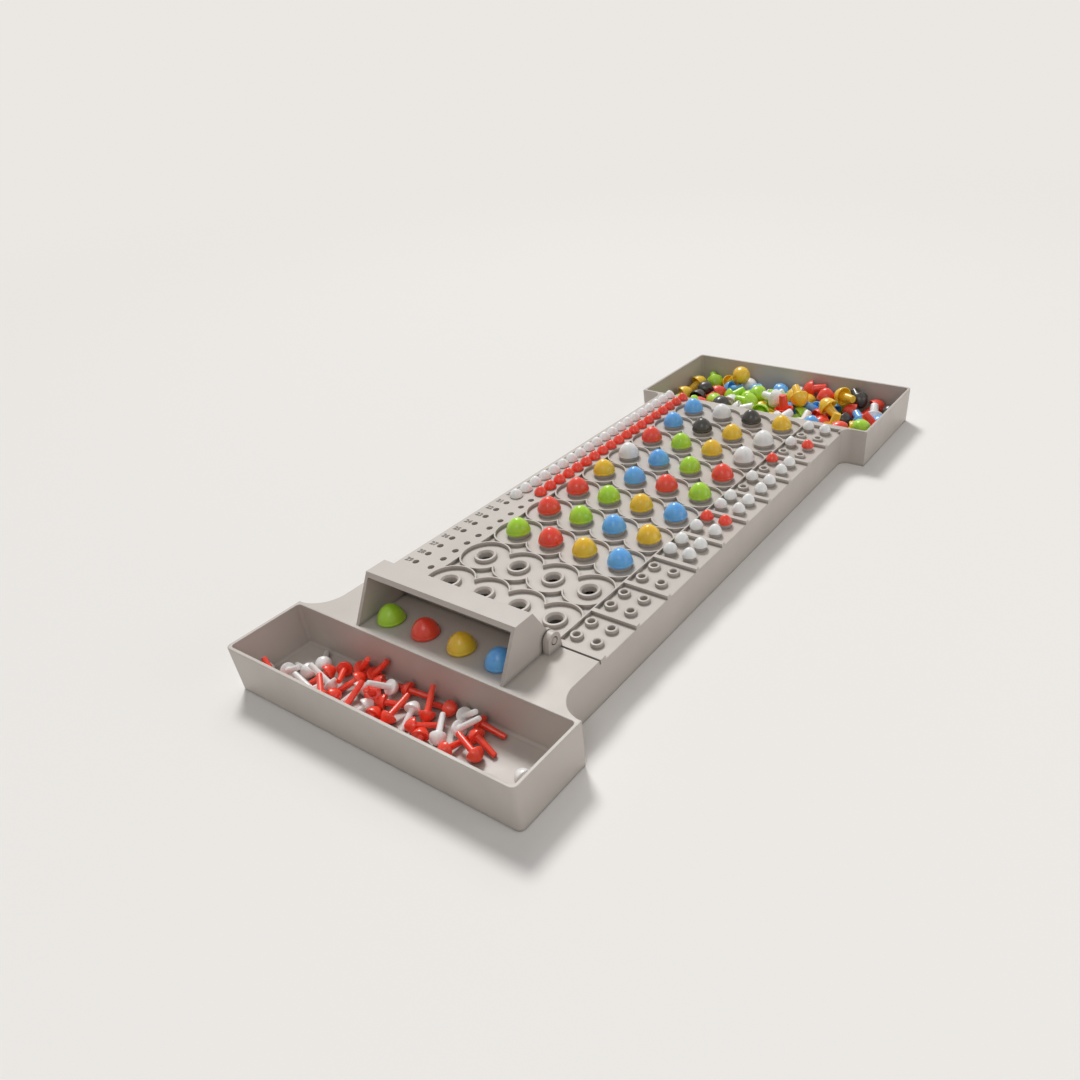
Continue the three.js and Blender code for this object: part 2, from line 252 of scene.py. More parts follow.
pegLook = {
    "green": ((172, 226, 40), (186, 235, 58)),
    "red": ((255, 66, 42), (255, 82, 54)),
    "yellow": ((255, 198, 36), (255, 210, 54)),
    "blue": ((96, 178, 255), (116, 192, 255)),
    "white": ((247, 247, 244), (251, 251, 249)),
    "black": ((52, 50, 46), (64, 61, 56)),
    "flow": 6 * mm,
    "roughness": 0.3,
    "unevenness": 0.04,
    "grainHeight": 0.012 * mm,
    "grainSize": 0.9 * mm,
    "specular": 0.4,
    "coat": 0.4,
    "coatRoughness": 0.22,
    "glow": 0.25,  # how much light wanders through the plastic, and how far
    "glowReach": 2.5 * mm,
}


def pegPlastic(color):
    made = newPlastic(f"{color}Peg", pegLook, [shade(*tone) for tone in pegLook[color]])
    shader = made.node_tree.nodes["Principled BSDF"]
    shader.inputs["Coat Weight"].default_value = pegLook["coat"]
    shader.inputs["Coat Roughness"].default_value = pegLook["coatRoughness"]
    if color != "black":
        shader.inputs["Subsurface Weight"].default_value = pegLook["glow"]
        shader.inputs["Subsurface Radius"].default_value = (1, 1, 1)
        shader.inputs["Subsurface Scale"].default_value = pegLook["glowReach"]
    return made


pegPlastics = {color: pegPlastic(color) for color in ("green", "red", "yellow", "blue", "white", "black")}
print("materials mixed:", 3 + len(pegPlastics))


# Outlines and meshes

def circle(x, y, radius, steps=48, turn=0.0):
    angles = [turn + 2 * math.pi * i / steps for i in range(steps)]
    return [(x + radius * math.cos(angle), y + radius * math.sin(angle)) for angle in angles]


def oblong(left, near, right, far):
    return [(left, near), (right, near), (right, far), (left, far)]


def arc(x, y, radius, start, end, steps=12):
    angles = [start + (end - start) * i / steps for i in range(steps + 1)]
    return [(x + radius * math.cos(angle), y + radius * math.sin(angle)) for angle in angles]


def meshOf(name, shape, turnOut=True):
    # the finished form as a mesh, with its faces turned outwards
    if turnOut:
        bmesh.ops.recalc_face_normals(shape, faces=shape.faces)
    mesh = bpy.data.meshes.new(name)
    shape.to_mesh(mesh)
    shape.free()
    return mesh


def evaluated(piece):
    # the mesh that the piece's curve, text or modifiers make
    bpy.context.view_layer.update()
    return bpy.data.meshes.new_from_object(piece.evaluated_get(bpy.context.evaluated_depsgraph_get()))


def helper(name, data):
    made = bpy.data.objects.new(name, data)
    scene.collection.objects.link(made)
    return made


def sheetMesh(name, loops, bottom, top, edge):
    # closed outlines filled flat, given a height and rounded edges
    curve = bpy.data.curves.new(name, "CURVE")
    curve.dimensions = "2D"
    curve.fill_mode = "BOTH"
    curve.extrude = (top - bottom) / 2 - edge
    curve.bevel_depth = edge
    curve.bevel_resolution = 1
    curve.offset = -edge
    for loop in loops:
        line = curve.splines.new("POLY")
        line.points.add(len(loop) - 1)
        for point, (x, y) in zip(line.points, loop):
            point.co = (x, y, 0, 1)
        line.use_cyclic_u = True
    holder = helper(name, curve)
    mesh = evaluated(holder)
    mesh.transform(Matrix.Translation((0, 0, (top + bottom) / 2)))
    bpy.data.objects.remove(holder)
    bpy.data.curves.remove(curve)
    return mesh


def turnedMesh(name, profile, steps=40):
    # a profile of (radius, height) turned round the upright axis
    shape = bmesh.new()
    rings = []
    for radius, height in profile:
        if radius <= 0:
            rings.append([shape.verts.new((0, 0, height))])
        else:
            rings.append([shape.verts.new((x, y, height)) for x, y in circle(0, 0, radius, steps)])
    for lower, upper in zip(rings, rings[1:]):
        for i in range(steps):
            j = (i + 1) % steps
            corners = [lower[i % len(lower)], lower[j % len(lower)]]
            corners += [upper[j % len(upper)], upper[i % len(upper)]]
            # a ring of one point gives the same corner twice
            corners = list(dict.fromkeys(corners))
            if len(corners) > 2:
                shape.faces.new(corners)
    if len(rings[0]) > 1 and profile[0] == profile[-1]:
        bmesh.ops.remove_doubles(shape, verts=shape.verts, dist=1e-7)
    return meshOf(name, shape)


def bridged(name, first, last):
    # a solid between two outlines that have the same count of points
    shape = bmesh.new()
    ends = [[shape.verts.new(point) for point in end] for end in (first, last)]
    for i in range(len(first)):
        j = (i + 1) % len(first)
        shape.faces.new((ends[0][i], ends[0][j], ends[1][j], ends[1][i]))
    for end in ends:
        shape.faces.new(end)
    return meshOf(name, shape)


def smoothCurve(points, steps):
    # a smooth line through the points (radius, height)
    through = [points[0], *points, (-points[-2][0], points[-2][1])]
    line = [points[0]]
    for a, b, c, d in zip(through, through[1:], through[2:], through[3:]):
        for i in range(1, steps + 1):
            t = i / steps
            line.append(
                tuple(
                    0.5 * (2 * b[k] + (c[k] - a[k]) * t + (2 * a[k] - 5 * b[k] + 4 * c[k] - d[k]) * t**2
                    + (3 * b[k] - a[k] - 3 * c[k] + d[k]) * t**3)
                    for k in (0, 1)
                )
            )
    return line[:-1] + [points[-1]]


def joined(name, parts):
    # several meshes, each with its places, as one mesh
    shape = bmesh.new()
    for mesh, places in parts:
        for place in places:
            first = len(shape.verts)
            shape.from_mesh(mesh)
            shape.verts.ensure_lookup_table()
            if any(place):
                bmesh.ops.translate(shape, verts=shape.verts[first:], vec=place)
    return meshOf(name, shape, turnOut=False)


def smooth(mesh, angle=32):
    mesh.shade_smooth()
    mesh.set_sharp_from_angle(angle=math.radians(angle))


def put(name, mesh, material, body, place=(0, 0, 0), turn=None, replaced=()):
    if not mesh.materials:
        mesh.materials.append(material)
    piece = helper(name, mesh)
    piece.location = place
    if turn is not None:
        piece.rotation_euler = turn
    if len(mesh.materials) == 1:
        piece.material_slots[0].link = "OBJECT"
        piece.material_slots[0].material = material
    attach(piece, body)
    if replaced:
        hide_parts(*replaced)
    return piece


def putMoulding(name, mesh, body, node):
    # a grey piece in place of its CAD node, with clean highlights on its rounded edges
    smooth(mesh)
    piece = put(name, mesh, boardPlastic, body, replaced=[node])
    even = piece.modifiers.new("evenNormals", "WEIGHTED_NORMAL")
    even.keep_sharp = True


def finishesWithPaintedShade(mesh):
    # the board's plastic outside, and darker copies of it with painted shade inside and on the tray floors
    mesh.materials.clear()
    for plastic in (boardPlastic, shadedInsidePlastic, shadedTrayFloorPlastic):
        mesh.materials.append(plastic)


inPlace = [(0, 0, 0)]  # for joined, where a part stays where it was made


# Deck: a base plate, the land with its sunk chains, and a ring round every hole

deck = {
    "hiddenGap": 0.25 * mm,  # between a ring's bore and the plate round it
    "boss": 0.3 * mm,  # how far the rings stand out below
    "rib": 1.4 * mm,
    "ribDepth": 2.6 * mm,
    "ribInset": 3 * mm,
    "ribEdge": 0.15 * mm,
    "ribRoot": 0.3 * mm,  # how far the ribs reach up into the plate
    "crossLift": 0.3 * mm,  # the cross ribs lie higher, so that no two faces are on one level
    "crossRoot": 0.1 * mm,
    "relief": 1.8 * mm,
    "edge": 0.16 * mm,
    "landRoot": 0.6 * mm,
    "ringRoot": 0.5 * mm,
    "sideInset": 0.42 * mm,
    "plateSteps": 11,
    "chainOverlap": 1.3 * mm,
    "rim": 0.8 * mm,
    "codeHole": 3.3 * mm,
    "codeSink": 4.1 * mm,
    "codeRing": 5.3 * mm,
    "sinkDepth": 0.9 * mm,
    "keyHole": 1.55 * mm,
    "keyRing": 2.8 * mm,
    "keyPanel": 10.4 * mm,
    "keyRib": 2.4 * mm,
    "scoreHole": 1.55 * mm,
    "scoreOffset": 15 * mm,
    "scoreSpacing": 9.8 * mm,
    "scoreLead": 4.3 * mm,
    "lineWidth": 0.9 * mm,
    "lineGap": 14.1 * mm,
}
codePitch = columnXs[1] - columnXs[0]
hollowRadius = codePitch / 2 + deck["chainOverlap"]
pocketRadius = hollowRadius + deck["rim"]
scoreXs = [columnXs[0] - deck["scoreOffset"] - i * deck["scoreSpacing"] for i in (0, 1)]
scoreYs = [rowYs[1] - deck["scoreLead"] + k * scorePitch for k in range(30)]
panelX = columnXs[3] + deck["keyPanel"]


def chainLoop(y):
    meet = math.acos(codePitch / 2 / hollowRadius)
    end = math.acos((deck["keyPanel"] - deck["rim"]) / hollowRadius)
    loop = []
    for i, x in enumerate(columnXs):
        start = -math.pi if i == 0 else meet - math.pi
        stop = -end if i == 3 else -meet
        loop += arc(x, y, hollowRadius, start, stop)[1:]
    for i, x in reversed(list(enumerate(columnXs))):
        start = end if i == 3 else meet
        stop = math.pi if i == 0 else math.pi - meet
        loop += arc(x, y, hollowRadius, start, stop)[0 if i == 3 else 1:]
    return loop


def pocketLoop(x, y):
    quarter = math.pi / 2
    side, top = math.acos(rowPitch / 2 / pocketRadius), math.asin(codePitch / 2 / pocketRadius)
    return (
        arc(x, y, pocketRadius, quarter - side, quarter - top, 8)[1:]
        + arc(x + codePitch, y, pocketRadius, quarter + top, quarter + side, 8)[1:]
        + arc(x + codePitch, y + rowPitch, pocketRadius, -quarter - side, -quarter - top, 8)[1:]
        + arc(x, y + rowPitch, pocketRadius, top - quarter, side - quarter, 8)[1:]
    )


def endPocketLoop(x, y, turn):
    # the half pocket at either end of the chains
    side, quarter = math.acos(rowPitch / 2 / pocketRadius), math.pi / 2
    end = math.acos((deck["keyPanel"] - deck["rim"]) / pocketRadius)
    lower = arc(x, y, pocketRadius, quarter - side, end, 8)
    upper = arc(x, y + rowPitch, pocketRadius, -end, side - quarter, 8)[:-1]
    return [(x + turn * (px - x), py) for px, py in lower + upper][::turn]


def panelNotch(near, far):
    # the land's right edge steps in to the key panel and out again
    return [(deckHigh.x, near), (panelX, near), (panelX, far), (deckHigh.x, far)]


def deckRibs():
    # a lattice of ribs stiffens the deck from below, between the rows and the columns
    half, edge, inset = deck["rib"] / 2, deck["ribEdge"], deck["ribInset"]
    low, high = deckLow.z - deck["ribDepth"], deckLow.z + deck["ribRoot"]
    near, far, right = deckLow.y + inset, deckHigh.y - inset, deckHigh.x - inset
    lines = [columnXs[0] + (i - 0.5) * codePitch for i in range(5)]
    between = [rowYs[row] + rowPitch / 2 for row in range(1, 10)]
    along = [oblong(x - half, near, x + half, far) for x in lines]
    across = [oblong(lines[0], y - half, right, y + half) for y in between]
    return [
        sheetMesh("longRibs", along, low, high, edge),
        sheetMesh("crossRibs", across, low + deck["crossLift"], high + deck["crossRoot"], edge),
    ]


def playDeck():
    edge, base = deck["edge"], landZ - deck["relief"]
    codeHoles = [(x, y) for y in [secretY, *rowYs.values()] for x in columnXs]
    ringHoles = [(x, y) for y in rowYs.values() for x in columnXs]
    keyHoles = [place for group in keyGroups.values() for place in group]
    scoreHoles = [(x, y) for y in scoreYs for x in scoreXs]
    # each hole's points are turned a little, because the fill fails where many lie on one level
    secretHoles = [circle(x, secretY, deck["codeHole"], 48, 0.02 + x) for x in columnXs]
    scoreLoops = [circle(x, y, deck["scoreHole"], 24, 0.03 + x + 3 * y) for x, y in scoreHoles]
    left, right = deckLow.x + deck["sideInset"], deckHigh.x - deck["sideInset"]
    run, steps = deckHigh.y - deckLow.y, deck["plateSteps"]
    plate = [(left, deckLow.y)] + [(right, deckLow.y + run * i / steps) for i in range(steps + 1)]
    plate += [(left, deckHigh.y - run * i / steps) for i in range(steps)]
    hidden, bore = deck["hiddenGap"], deck["codeHole"]
    plateHoles = [circle(x, y, bore + (hidden if y > secretY else 0), 48, 0.02 + x) for x, y in codeHoles]
    plateHoles += [circle(x, y, deck["keyHole"] + hidden, 28, 0.04 + 2 * x + 5 * y) for x, y in keyHoles]
    parts = [(sheetMesh("plate", [plate, *plateHoles, *scoreLoops], deckLow.z, base, edge / 2), inPlace)]

    # the land reaches past both ends, so that its rounded edge is inside the tray's wall
    near, far = deckLow.y - edge, deckHigh.y + edge
    outline = [(deckLow.x, near), (deckHigh.x, near)]
    lineY = rowYs[1] + keyShift - deck["lineGap"]
    outline += panelNotch(lineY - deck["lineWidth"], lineY)
    for row in range(1, 11):
        centre = rowYs[row] + keyShift
        reach = (rowPitch - deck["keyRib"]) / 2
        outline += panelNotch(centre - reach, centre + reach)
    outline += [(deckHigh.x, far), (deckLow.x, far)]
    sunk = [chainLoop(y) for y in rowYs.values()]
    sunk += [pocketLoop(x, rowYs[row]) for row in range(1, 10) for x in columnXs[:3]]
    sunk += [endPocketLoop(columnXs[3], rowYs[row], 1) for row in range(1, 10)]
    sunk += [endPocketLoop(columnXs[0], rowYs[row], -1) for row in range(1, 10)]
    holes = [*sunk, *secretHoles, *scoreLoops]
    parts.append((sheetMesh("land", [outline, *holes], base - deck["landRoot"], landZ, edge), inPlace))

    # rings: rounded outside, sunk towards the hole
    inner, sink, outer = deck["codeHole"], deck["codeSink"], deck["codeRing"]
    low, depth, foot = base - deck["ringRoot"], deck["sinkDepth"], deckLow.z - deck["boss"]
    ring = [(inner, foot), (inner, landZ - depth - 0.2 * mm), (inner + 0.12 * mm, landZ - depth)]
    ring += [(sink - 0.15 * mm, landZ - 0.18 * mm), (sink + 0.1 * mm, landZ)]
    ring += [(outer - 0.4 * mm, landZ), (outer - 0.12 * mm, landZ - 0.1 * mm), (outer, landZ - 0.38 * mm)]
    ring += [(outer + 0.05 * mm, low)]
    ring += [(inner + 0.8 * mm, low), (inner + 0.8 * mm, foot), (inner, foot)]
    parts.append((turnedMesh("codeRing", ring, 48), [(x, y, 0) for x, y in ringHoles]))
    inner, outer = deck["keyHole"], deck["keyRing"]
    ring = [(inner, foot), (inner, landZ - 0.35 * mm), (inner + 0.3 * mm, landZ - 0.03 * mm)]
    ring += [(outer - 0.35 * mm, landZ), (outer - 0.1 * mm, landZ - 0.1 * mm), (outer, landZ - 0.34 * mm)]
    ring += [(outer + 0.05 * mm, low)]
    ring += [(inner + 0.5 * mm, low), (inner + 0.5 * mm, foot), (inner, foot)]
    parts.append((turnedMesh("keyRing", ring, 28), [(x, y, 0) for x, y in keyHoles]))
    parts += [(rib, inPlace) for rib in deckRibs()]
    putMoulding("playDeckFine", joined("playDeckFine", parts), "board", "play_deck")


playDeck()
print("deck moulded")


# Side walls: each has a rounded shoulder, and leans in towards its foot

sides = {
    "thickness": 1.6 * mm,
    "lean": 0.8 * mm,
    "shoulder": 0.35 * mm,
    "drop": 0.015 * mm,  # below the plate's top, so that the two don't lie on one level
}


def sideWall(name, side, node):
    top = landZ - deck["relief"] - sides["drop"]
    x, thick, lean, bend = deckHigh.x, sides["thickness"], sides["lean"], sides["shoulder"]
    shoulder = arc(x - bend, top - bend, bend, 0, math.pi / 2, 4)
    section = [(x - lean, 0), *shoulder, (x - thick, top), (x - thick - lean, 0)]
    ends = [[(side * px, y, pz) for px, pz in section] for y in (deckLow.y, deckHigh.y)]
    putMoulding(name, bridged(name, *ends), "board", node)


sideWall("sideWallLeftFine", -1, "side_wall_left")
sideWall("sideWallRightFine", 1, "side_wall_right")
print("side walls up")


# Trays: loops of one rounded rectangle, from the foot up the outside, over the rim and down inside

trays = {
    "wall": 1.6 * mm,
    "lean": 0.8 * mm,
    "floor": 1.6 * mm,
    "outerCorner": 2.5 * mm,
    "innerCorner": 1.7 * mm,
    "rimRound": 0.35 * mm,
    "footRound": 0.5 * mm,
    "floorRound": 1.4 * mm,
    "boardCorner": 0.2 * mm,
    "wingRound": 14 * mm,
    "wingOverlap": 0.6 * mm,
    "wingEdge": 0.22 * mm,
    "wingLift": 0.008 * mm,  # above the land, so that the two don't lie on one level
    "wingFoot": 0.03 * mm,
    "wingTuck": 0.3 * mm,
    "wingWallEdge": 0.05 * mm,
    "farFillet": 5.5 * mm,
}


def trayLoop(half, edge, end, corner, boardCorner, z):
    # edge is the wall at the board, end the wall away from it
    side = 1 if end > edge else -1
    atBoard, atEnd = (edge, -side, boardCorner), (end, side, corner)
    loop = []
    for i, (across, (y, turn, radius)) in enumerate([(1, atBoard), (1, atEnd), (-1, atEnd), (-1, atBoard)]):
        points = [
            (across * half + across * (px - radius), y + turn * (py - radius), z)
            for px, py in arc(0, 0, radius, 0, math.pi / 2, 6)
        ]
        # every other corner runs the other way, so that the loop goes round
        loop += points if i % 2 else points[::-1]
    return loop


def wingMesh(edge, side, across, radius, thick):
    # the curved web that carries the board's side out to the tray
    centreX, centreY = deckHigh.x + radius, edge - side * radius
    outside = arc(0, 0, radius, math.pi / 2, math.pi, 16)
    face = [(across * (centreX + px), centreY + side * py) for px, py in outside]
    over = trays["wingOverlap"]
    topPlan = [(face[0][0], edge + side * over), *face, (across * (deckHigh.x - over), face[-1][1])]
    topPlan.append((across * (deckHigh.x - over), edge + side * over))
    low, high = landZ - trays["wall"], landZ + trays["wingLift"]
    plate = sheetMesh("wingTop", [topPlan], low, high, trays["wingEdge"])
    inside = arc(0, 0, radius + thick, math.pi / 2, math.pi, 16)
    back = [(across * (centreX + px), centreY + side * py) for px, py in inside]
    foot, top = trays["wingFoot"], landZ - trays["wingTuck"]
    wall = sheetMesh("wingWall", [face + back[::-1]], foot, top, trays["wingWallEdge"])
    for vertex in wall.vertices:
        # the foot leans in with the side wall and the tray's end
        drop = 1 - vertex.co.z / landZ
        vertex.co.x -= across * sides["lean"] * drop
    return joined("wing", [(plate, inPlace), (wall, inPlace)])


def tray(name, node, edge, end, fillet):
    side = 1 if end > edge else -1
    half, wall, lean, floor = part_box(node)[1].x, trays["wall"], trays["lean"], trays["floor"]
    rim, foot, bend = trays["rimRound"], trays["footRound"], trays["floorRound"]
    outer, inner, sharp = trays["outerCorner"], trays["innerCorner"], trays["boardCorner"]
    loops = []

    def turns(*angles):
        return [(math.cos(math.radians(angle)), math.sin(math.radians(angle))) for angle in angles]

    def add(inset, z, corner, boardCorner, boardInset):
        atBoard, atEnd = edge + side * boardInset, end - side * inset
        loops.append(trayLoop(half - inset, atBoard, atEnd, corner, boardCorner, z))

    add(lean + foot, 0, outer - foot, sharp, 0)
    for out, up in turns(60, 30, 0):
        slip = foot * (1 - out)
        add(lean + slip, foot * (1 - up), outer - slip, sharp, 0)
    for out, up in turns(0, 30, 60, 90):
        slip = rim * (1 - out)
        add(slip, landZ - rim + rim * up, outer - slip, sharp, 0)
    for out, up in turns(90, 60, 30, 0):
        slip = wall - rim + rim * out
        add(slip, landZ - rim + rim * up, inner + wall - slip, inner, slip)
    insideFrom = len(loops) - 1
    for out, up in turns(0, 22.5, 45, 67.5, 90):
        slip = wall + lean + bend * (1 - out)
        add(slip, floor + bend * (1 - up), max(inner - bend * (1 - out), 0.3 * mm), inner, slip - lean)
    shape = bmesh.new()
    rings = [[shape.verts.new(point) for point in loop] for loop in loops]
    for k, (lower, upper) in enumerate(zip(rings, rings[1:])):
        for i in range(len(lower)):
            j = (i + 1) % len(lower)
            face = shape.faces.new((lower[i], lower[j], upper[j], upper[i]))
            # faces inside the tray take the darker plastic, painted shade
            face.material_index = 1 if k >= insideFrom else 0
    shape.faces.new(rings[0])
    # the floor takes the darkest plastic, painted shade
    shape.faces.new(rings[-1]).material_index = 2
    shell = meshOf(name, shape)
    wings = [(wingMesh(edge, side, across, fillet, wall), inPlace) for across in (1, -1)]
    mesh = joined(name, [(shell, inPlace), *wings])
    finishesWithPaintedShade(mesh)
    putMoulding(name, mesh, "board", node)


nearLow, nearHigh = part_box("near_tray")
farLow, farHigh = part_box("far_tray")
tray("nearTrayFine", "near_tray", deckLow.y, nearLow.y, trays["wingRound"])
tray("farTrayFine", "far_tray", deckHigh.y, farHigh.y, trays["farFillet"])
print("trays moulded")


# Hood: a bent roof with a lip, two end panels, and a lug and pin at each rear foot

hood = {
    "wall": 1.6 * mm,
    "lip": 2.0 * mm,
    "lean": 11 * mm,
    "topDepth": 10 * mm,
    "rearRun": 7 * mm,
    "rearHeight": 8 * mm,
    "sideGap": 0.3 * mm,
    "lug": 4.0 * mm,
    "pin": 1.5 * mm,
    "pinTip": 0.3 * mm,
    "pinRoot": 0.5 * mm,
    "heelGap": 0.5 * mm,
    "round": 0.45 * mm,
    "overrun": 1 * mm,  # of the form that hollows it out
}


def prism(name, section, start, stop):
    # a section in Y and Z, run along X
    return bridged(name, *[[(x, y, z) for y, z in section] for x in (start, stop)])


def applied(piece):
    # the piece's modifiers, worked into its mesh
    mesh = evaluated(piece)
    piece.modifiers.clear()
    piece.data = mesh
    return mesh


def cut(piece, tool, operation):
    change = piece.modifiers.new(operation, "BOOLEAN")
    change.operation = operation
    change.solver = "EXACT"
    change.material_mode = "TRANSFER"
    change.object = tool
    applied(piece)
    bpy.data.objects.remove(tool)


def codeHood():
    hoodLow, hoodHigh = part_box("code_shield")
    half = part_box("hinge_ear_right")[0].x - hood["sideGap"]
    wall, front, floor, roof = hood["wall"], hoodLow.y, landZ, hoodHigh.z
    ridge = front + hood["lean"] + hood["topDepth"]
    rear = ridge + hood["rearRun"]
    heel = hinge.y - (hinge.z - floor)
    gap = hood["heelGap"]
    section = [(front, floor), (heel, floor), (heel + gap, floor + gap), (rear, floor + gap)]
    section += [(rear, floor + hood["rearHeight"]), (ridge, roof), (front + hood["lean"], roof)]
    slope = math.hypot(hood["rearRun"], roof - floor - hood["rearHeight"])
    slip = wall * hood["rearRun"] / slope
    lipBack = front + hood["lean"] + wall * math.hypot(hood["lean"], roof - floor) / (roof - floor)
    ahead = front - hood["overrun"]
    inside = [(ahead, floor - hood["overrun"]), (rear - wall, floor - hood["overrun"])]
    inside += [(rear - wall, floor + hood["rearHeight"] - slip), (ridge - slip, roof - wall)]
    inside += [(lipBack, roof - wall), (lipBack, roof - hood["lip"]), (ahead, roof - hood["lip"])]
    shell = helper("codeHoodFine", prism("shell", section, -half, half))
    shell.data.materials.append(boardPlastic)
    for start in (-half, half - wall):
        lug = prism("lug", circle(hinge.y, hinge.z, hood["lug"], 36), start, start + wall)
        lug.materials.append(boardPlastic)
        cut(shell, helper("lug", lug), "UNION")
    hollow = prism("inside", inside, wall - half, half - wall)
    # the hood's inside takes the darker plastic, painted shade
    hollow.materials.append(shadedInsidePlastic)
    cut(shell, helper("inside", hollow), "DIFFERENCE")
    soft = shell.modifiers.new("soft", "BEVEL")
    soft.width = hood["round"]
    soft.segments = 3
    soft.limit_method = "ANGLE"
    soft.angle_limit = math.radians(28)
    soft.use_clamp_overlap = True
    mesh = applied(shell)
    bpy.data.objects.remove(shell)

    pin, tip, rooted = hood["pin"], hood["pinTip"], hood["pinRoot"]
    length = hoodHigh.x - half + rooted
    profile = [(0, 0), (pin, 0), (pin, length - tip), (pin - tip, length), (0, length)]
    pins = []
    for side in (1, -1):
        turned = turnedMesh("pin", profile, 24)
        turned.transform(Matrix.Rotation(side * math.pi / 2, 4, "Y"))
        pins.append((turned, [(side * (half - rooted), hinge.y, hinge.z)]))
    mesh = joined("codeHoodFine", [(mesh, inPlace), *pins])
    finishesWithPaintedShade(mesh)
    putMoulding("codeHoodFine", mesh, "hood", "code_shield")


codeHood()


# Ears: rounded lugs that stand on the deck and hold the pins

ears = {"bore": 1.8 * mm, "wall": 2 * mm, "edge": 0.35 * mm, "foot": 0.5 * mm, "sunk": 0.4 * mm}


def hingeEar(name, node):
    low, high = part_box(node)
    outer, foot, sunk = ears["bore"] + ears["wall"], ears["foot"], landZ - ears["sunk"]
    outline = [(hinge.y - outer - foot, sunk), (hinge.y + outer + foot, sunk)]
    outline += arc(hinge.y, hinge.z, outer, 0, math.pi, 24)
    mesh = sheetMesh(name, [outline, circle(hinge.y, hinge.z, ears["bore"], 28)], low.x, high.x, ears["edge"])
    mesh.transform(Matrix(((0, 0, 1, 0), (1, 0, 0, 0), (0, 1, 0, 0), (0, 0, 0, 1))))
    putMoulding(name, mesh, "board", node)


hingeEar("hingeEarLeftFine", "hinge_ear_left")
hingeEar("hingeEarRightFine", "hinge_ear_right")
print("hood hung")


# Code pegs: a bell with a thin skirt, hollow round its stem

codePeg = {
    "skirt": 6.0,
    "height": 7.3,
    "stem": 2.9,
    "stemLength": 8.5,
    "stemTaper": 0.4,
    "groove": 5.1,
    "hollow": 3.9,
    "bell": [(5.62, 2.0), (5.3, 2.95), (4.8, 3.95), (4.1, 4.95), (3.2, 5.85), (2.2, 6.6), (1.1, 7.12)],
}


def codePegMesh():
    skirt, top, stem, length = (codePeg[k] for k in ("skirt", "height", "stem", "stemLength"))
    tip, groove, hollow = stem - codePeg["stemTaper"], codePeg["groove"], codePeg["hollow"]
    profile = [(0, -length), (tip - 0.6, -length), (tip - 0.15, -length + 0.15), (tip, -length + 0.6)]
    profile += [(stem, 0), (stem + 0.1, hollow - 0.6), (stem + 0.6, hollow), (groove - 1.2, hollow)]
    profile += [(groove - 0.5, hollow - 1.2), (groove, 1.2), (groove + 0.12, 0.15), (groove + 0.3, 0)]
    profile += [(skirt - 0.15, 0), (skirt, 0.15), (skirt, 0.8), (skirt - 0.07, 1.02), (skirt - 0.22, 1.15)]
    # the bell's own curve, from the skirt to the crown
    bell = [(skirt - 0.22, 1.15), *codePeg["bell"], (0, top)]
    profile += smoothCurve(bell, 4)[1:]
    mesh = turnedMesh("codePegFine", [(r * mm, z * mm) for r, z in profile], 40)
    smooth(mesh, 50)
    return mesh


# Key pegs: a small domed head on a long thin stem

keyPeg = {
    "head": 3.4,
    "height": 4.2,
    "stem": 1.35,
    "stemLength": 11,
    "bell": [(3.28, 1.0), (3.02, 1.7), (2.62, 2.35), (2.1, 3.0), (1.48, 3.6), (0.78, 4.02)],
}


def keyPegMesh():
    head, top, stem, length = (keyPeg[k] for k in ("head", "height", "stem", "stemLength"))
    tip = stem - 0.2
    profile = [(0, -length), (tip - 0.5, -length), (tip - 0.12, -length + 0.14), (tip, -length + 0.5)]
    profile += [(stem, -0.5), (stem + 0.25, 0)]
    profile += [(head - 0.3, 0), (head - 0.08, 0.08), (head, 0.22), (head - 0.04, 0.5)]
    profile += smoothCurve([(head - 0.04, 0.5), *keyPeg["bell"], (0, top)], 3)[1:]
    mesh = turnedMesh("keyPegFine", [(r * mm, z * mm) for r, z in profile], 28)
    smooth(mesh, 50)
    return mesh


codePegShape = codePegMesh()
keyPegShape = keyPegMesh()
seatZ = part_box("code_peg_3_1")[1].z - codePeg["height"] * mm


def standing(name, shape, color, body, x, y, replaced=()):
    spin = random.uniform(0, 6.28)
    put(name, shape, pegPlastics[color], body, (x, y, seatZ), (0, 0, spin), replaced)


pegColor = {s["node"]: s["material_slot"].removeprefix("peg_") for s in frame["record"]["subparts"]}
bodyOf = {node: body for body, nodes in frame["record"]["behaviour"]["bodies"].items() for node in nodes}
random.seed(7)
for node, color in pegColor.items():
    if node.startswith(("code_peg", "secret_peg", "key_peg")):
        shape = keyPegShape if node.startswith("key") else codePegShape
        place = middle(node)
        standing(node + "_fine", shape, color, bodyOf[node], place.x, place.y, [node])

# answers of rows 8 to 10: far left, far right, near left, near right
lastAnswers = {8: ("red", "white", "", "white"), 9: ("white", "red", "", ""), 10: ("white", "white", "", "")}
for row, colors in lastAnswers.items():
    for i, color in enumerate(colors):
        if color:
            x, y = keyGroups[row][i]
            standing(f"answerPeg_{row}_{i + 1}", keyPegShape, color, "board", x, y)

scores = {"white": 20, "red": 19}  # how many holes are filled, from the far end
for column, color in ((1, "white"), (0, "red")):
    for k in range(30 - scores[color], 30):
        standing(f"scorePeg_{color}_{k + 1}", keyPegShape, color, "board", scoreXs[column], scoreYs[k])
upright = [piece for piece in bpy.data.objects if "Peg_" in piece.name or "_fine" in piece.name]
print("pegs standing:", len(upright))


# Loose pegs, poured into the trays: they fall and settle as rigid bodies, in centimetres

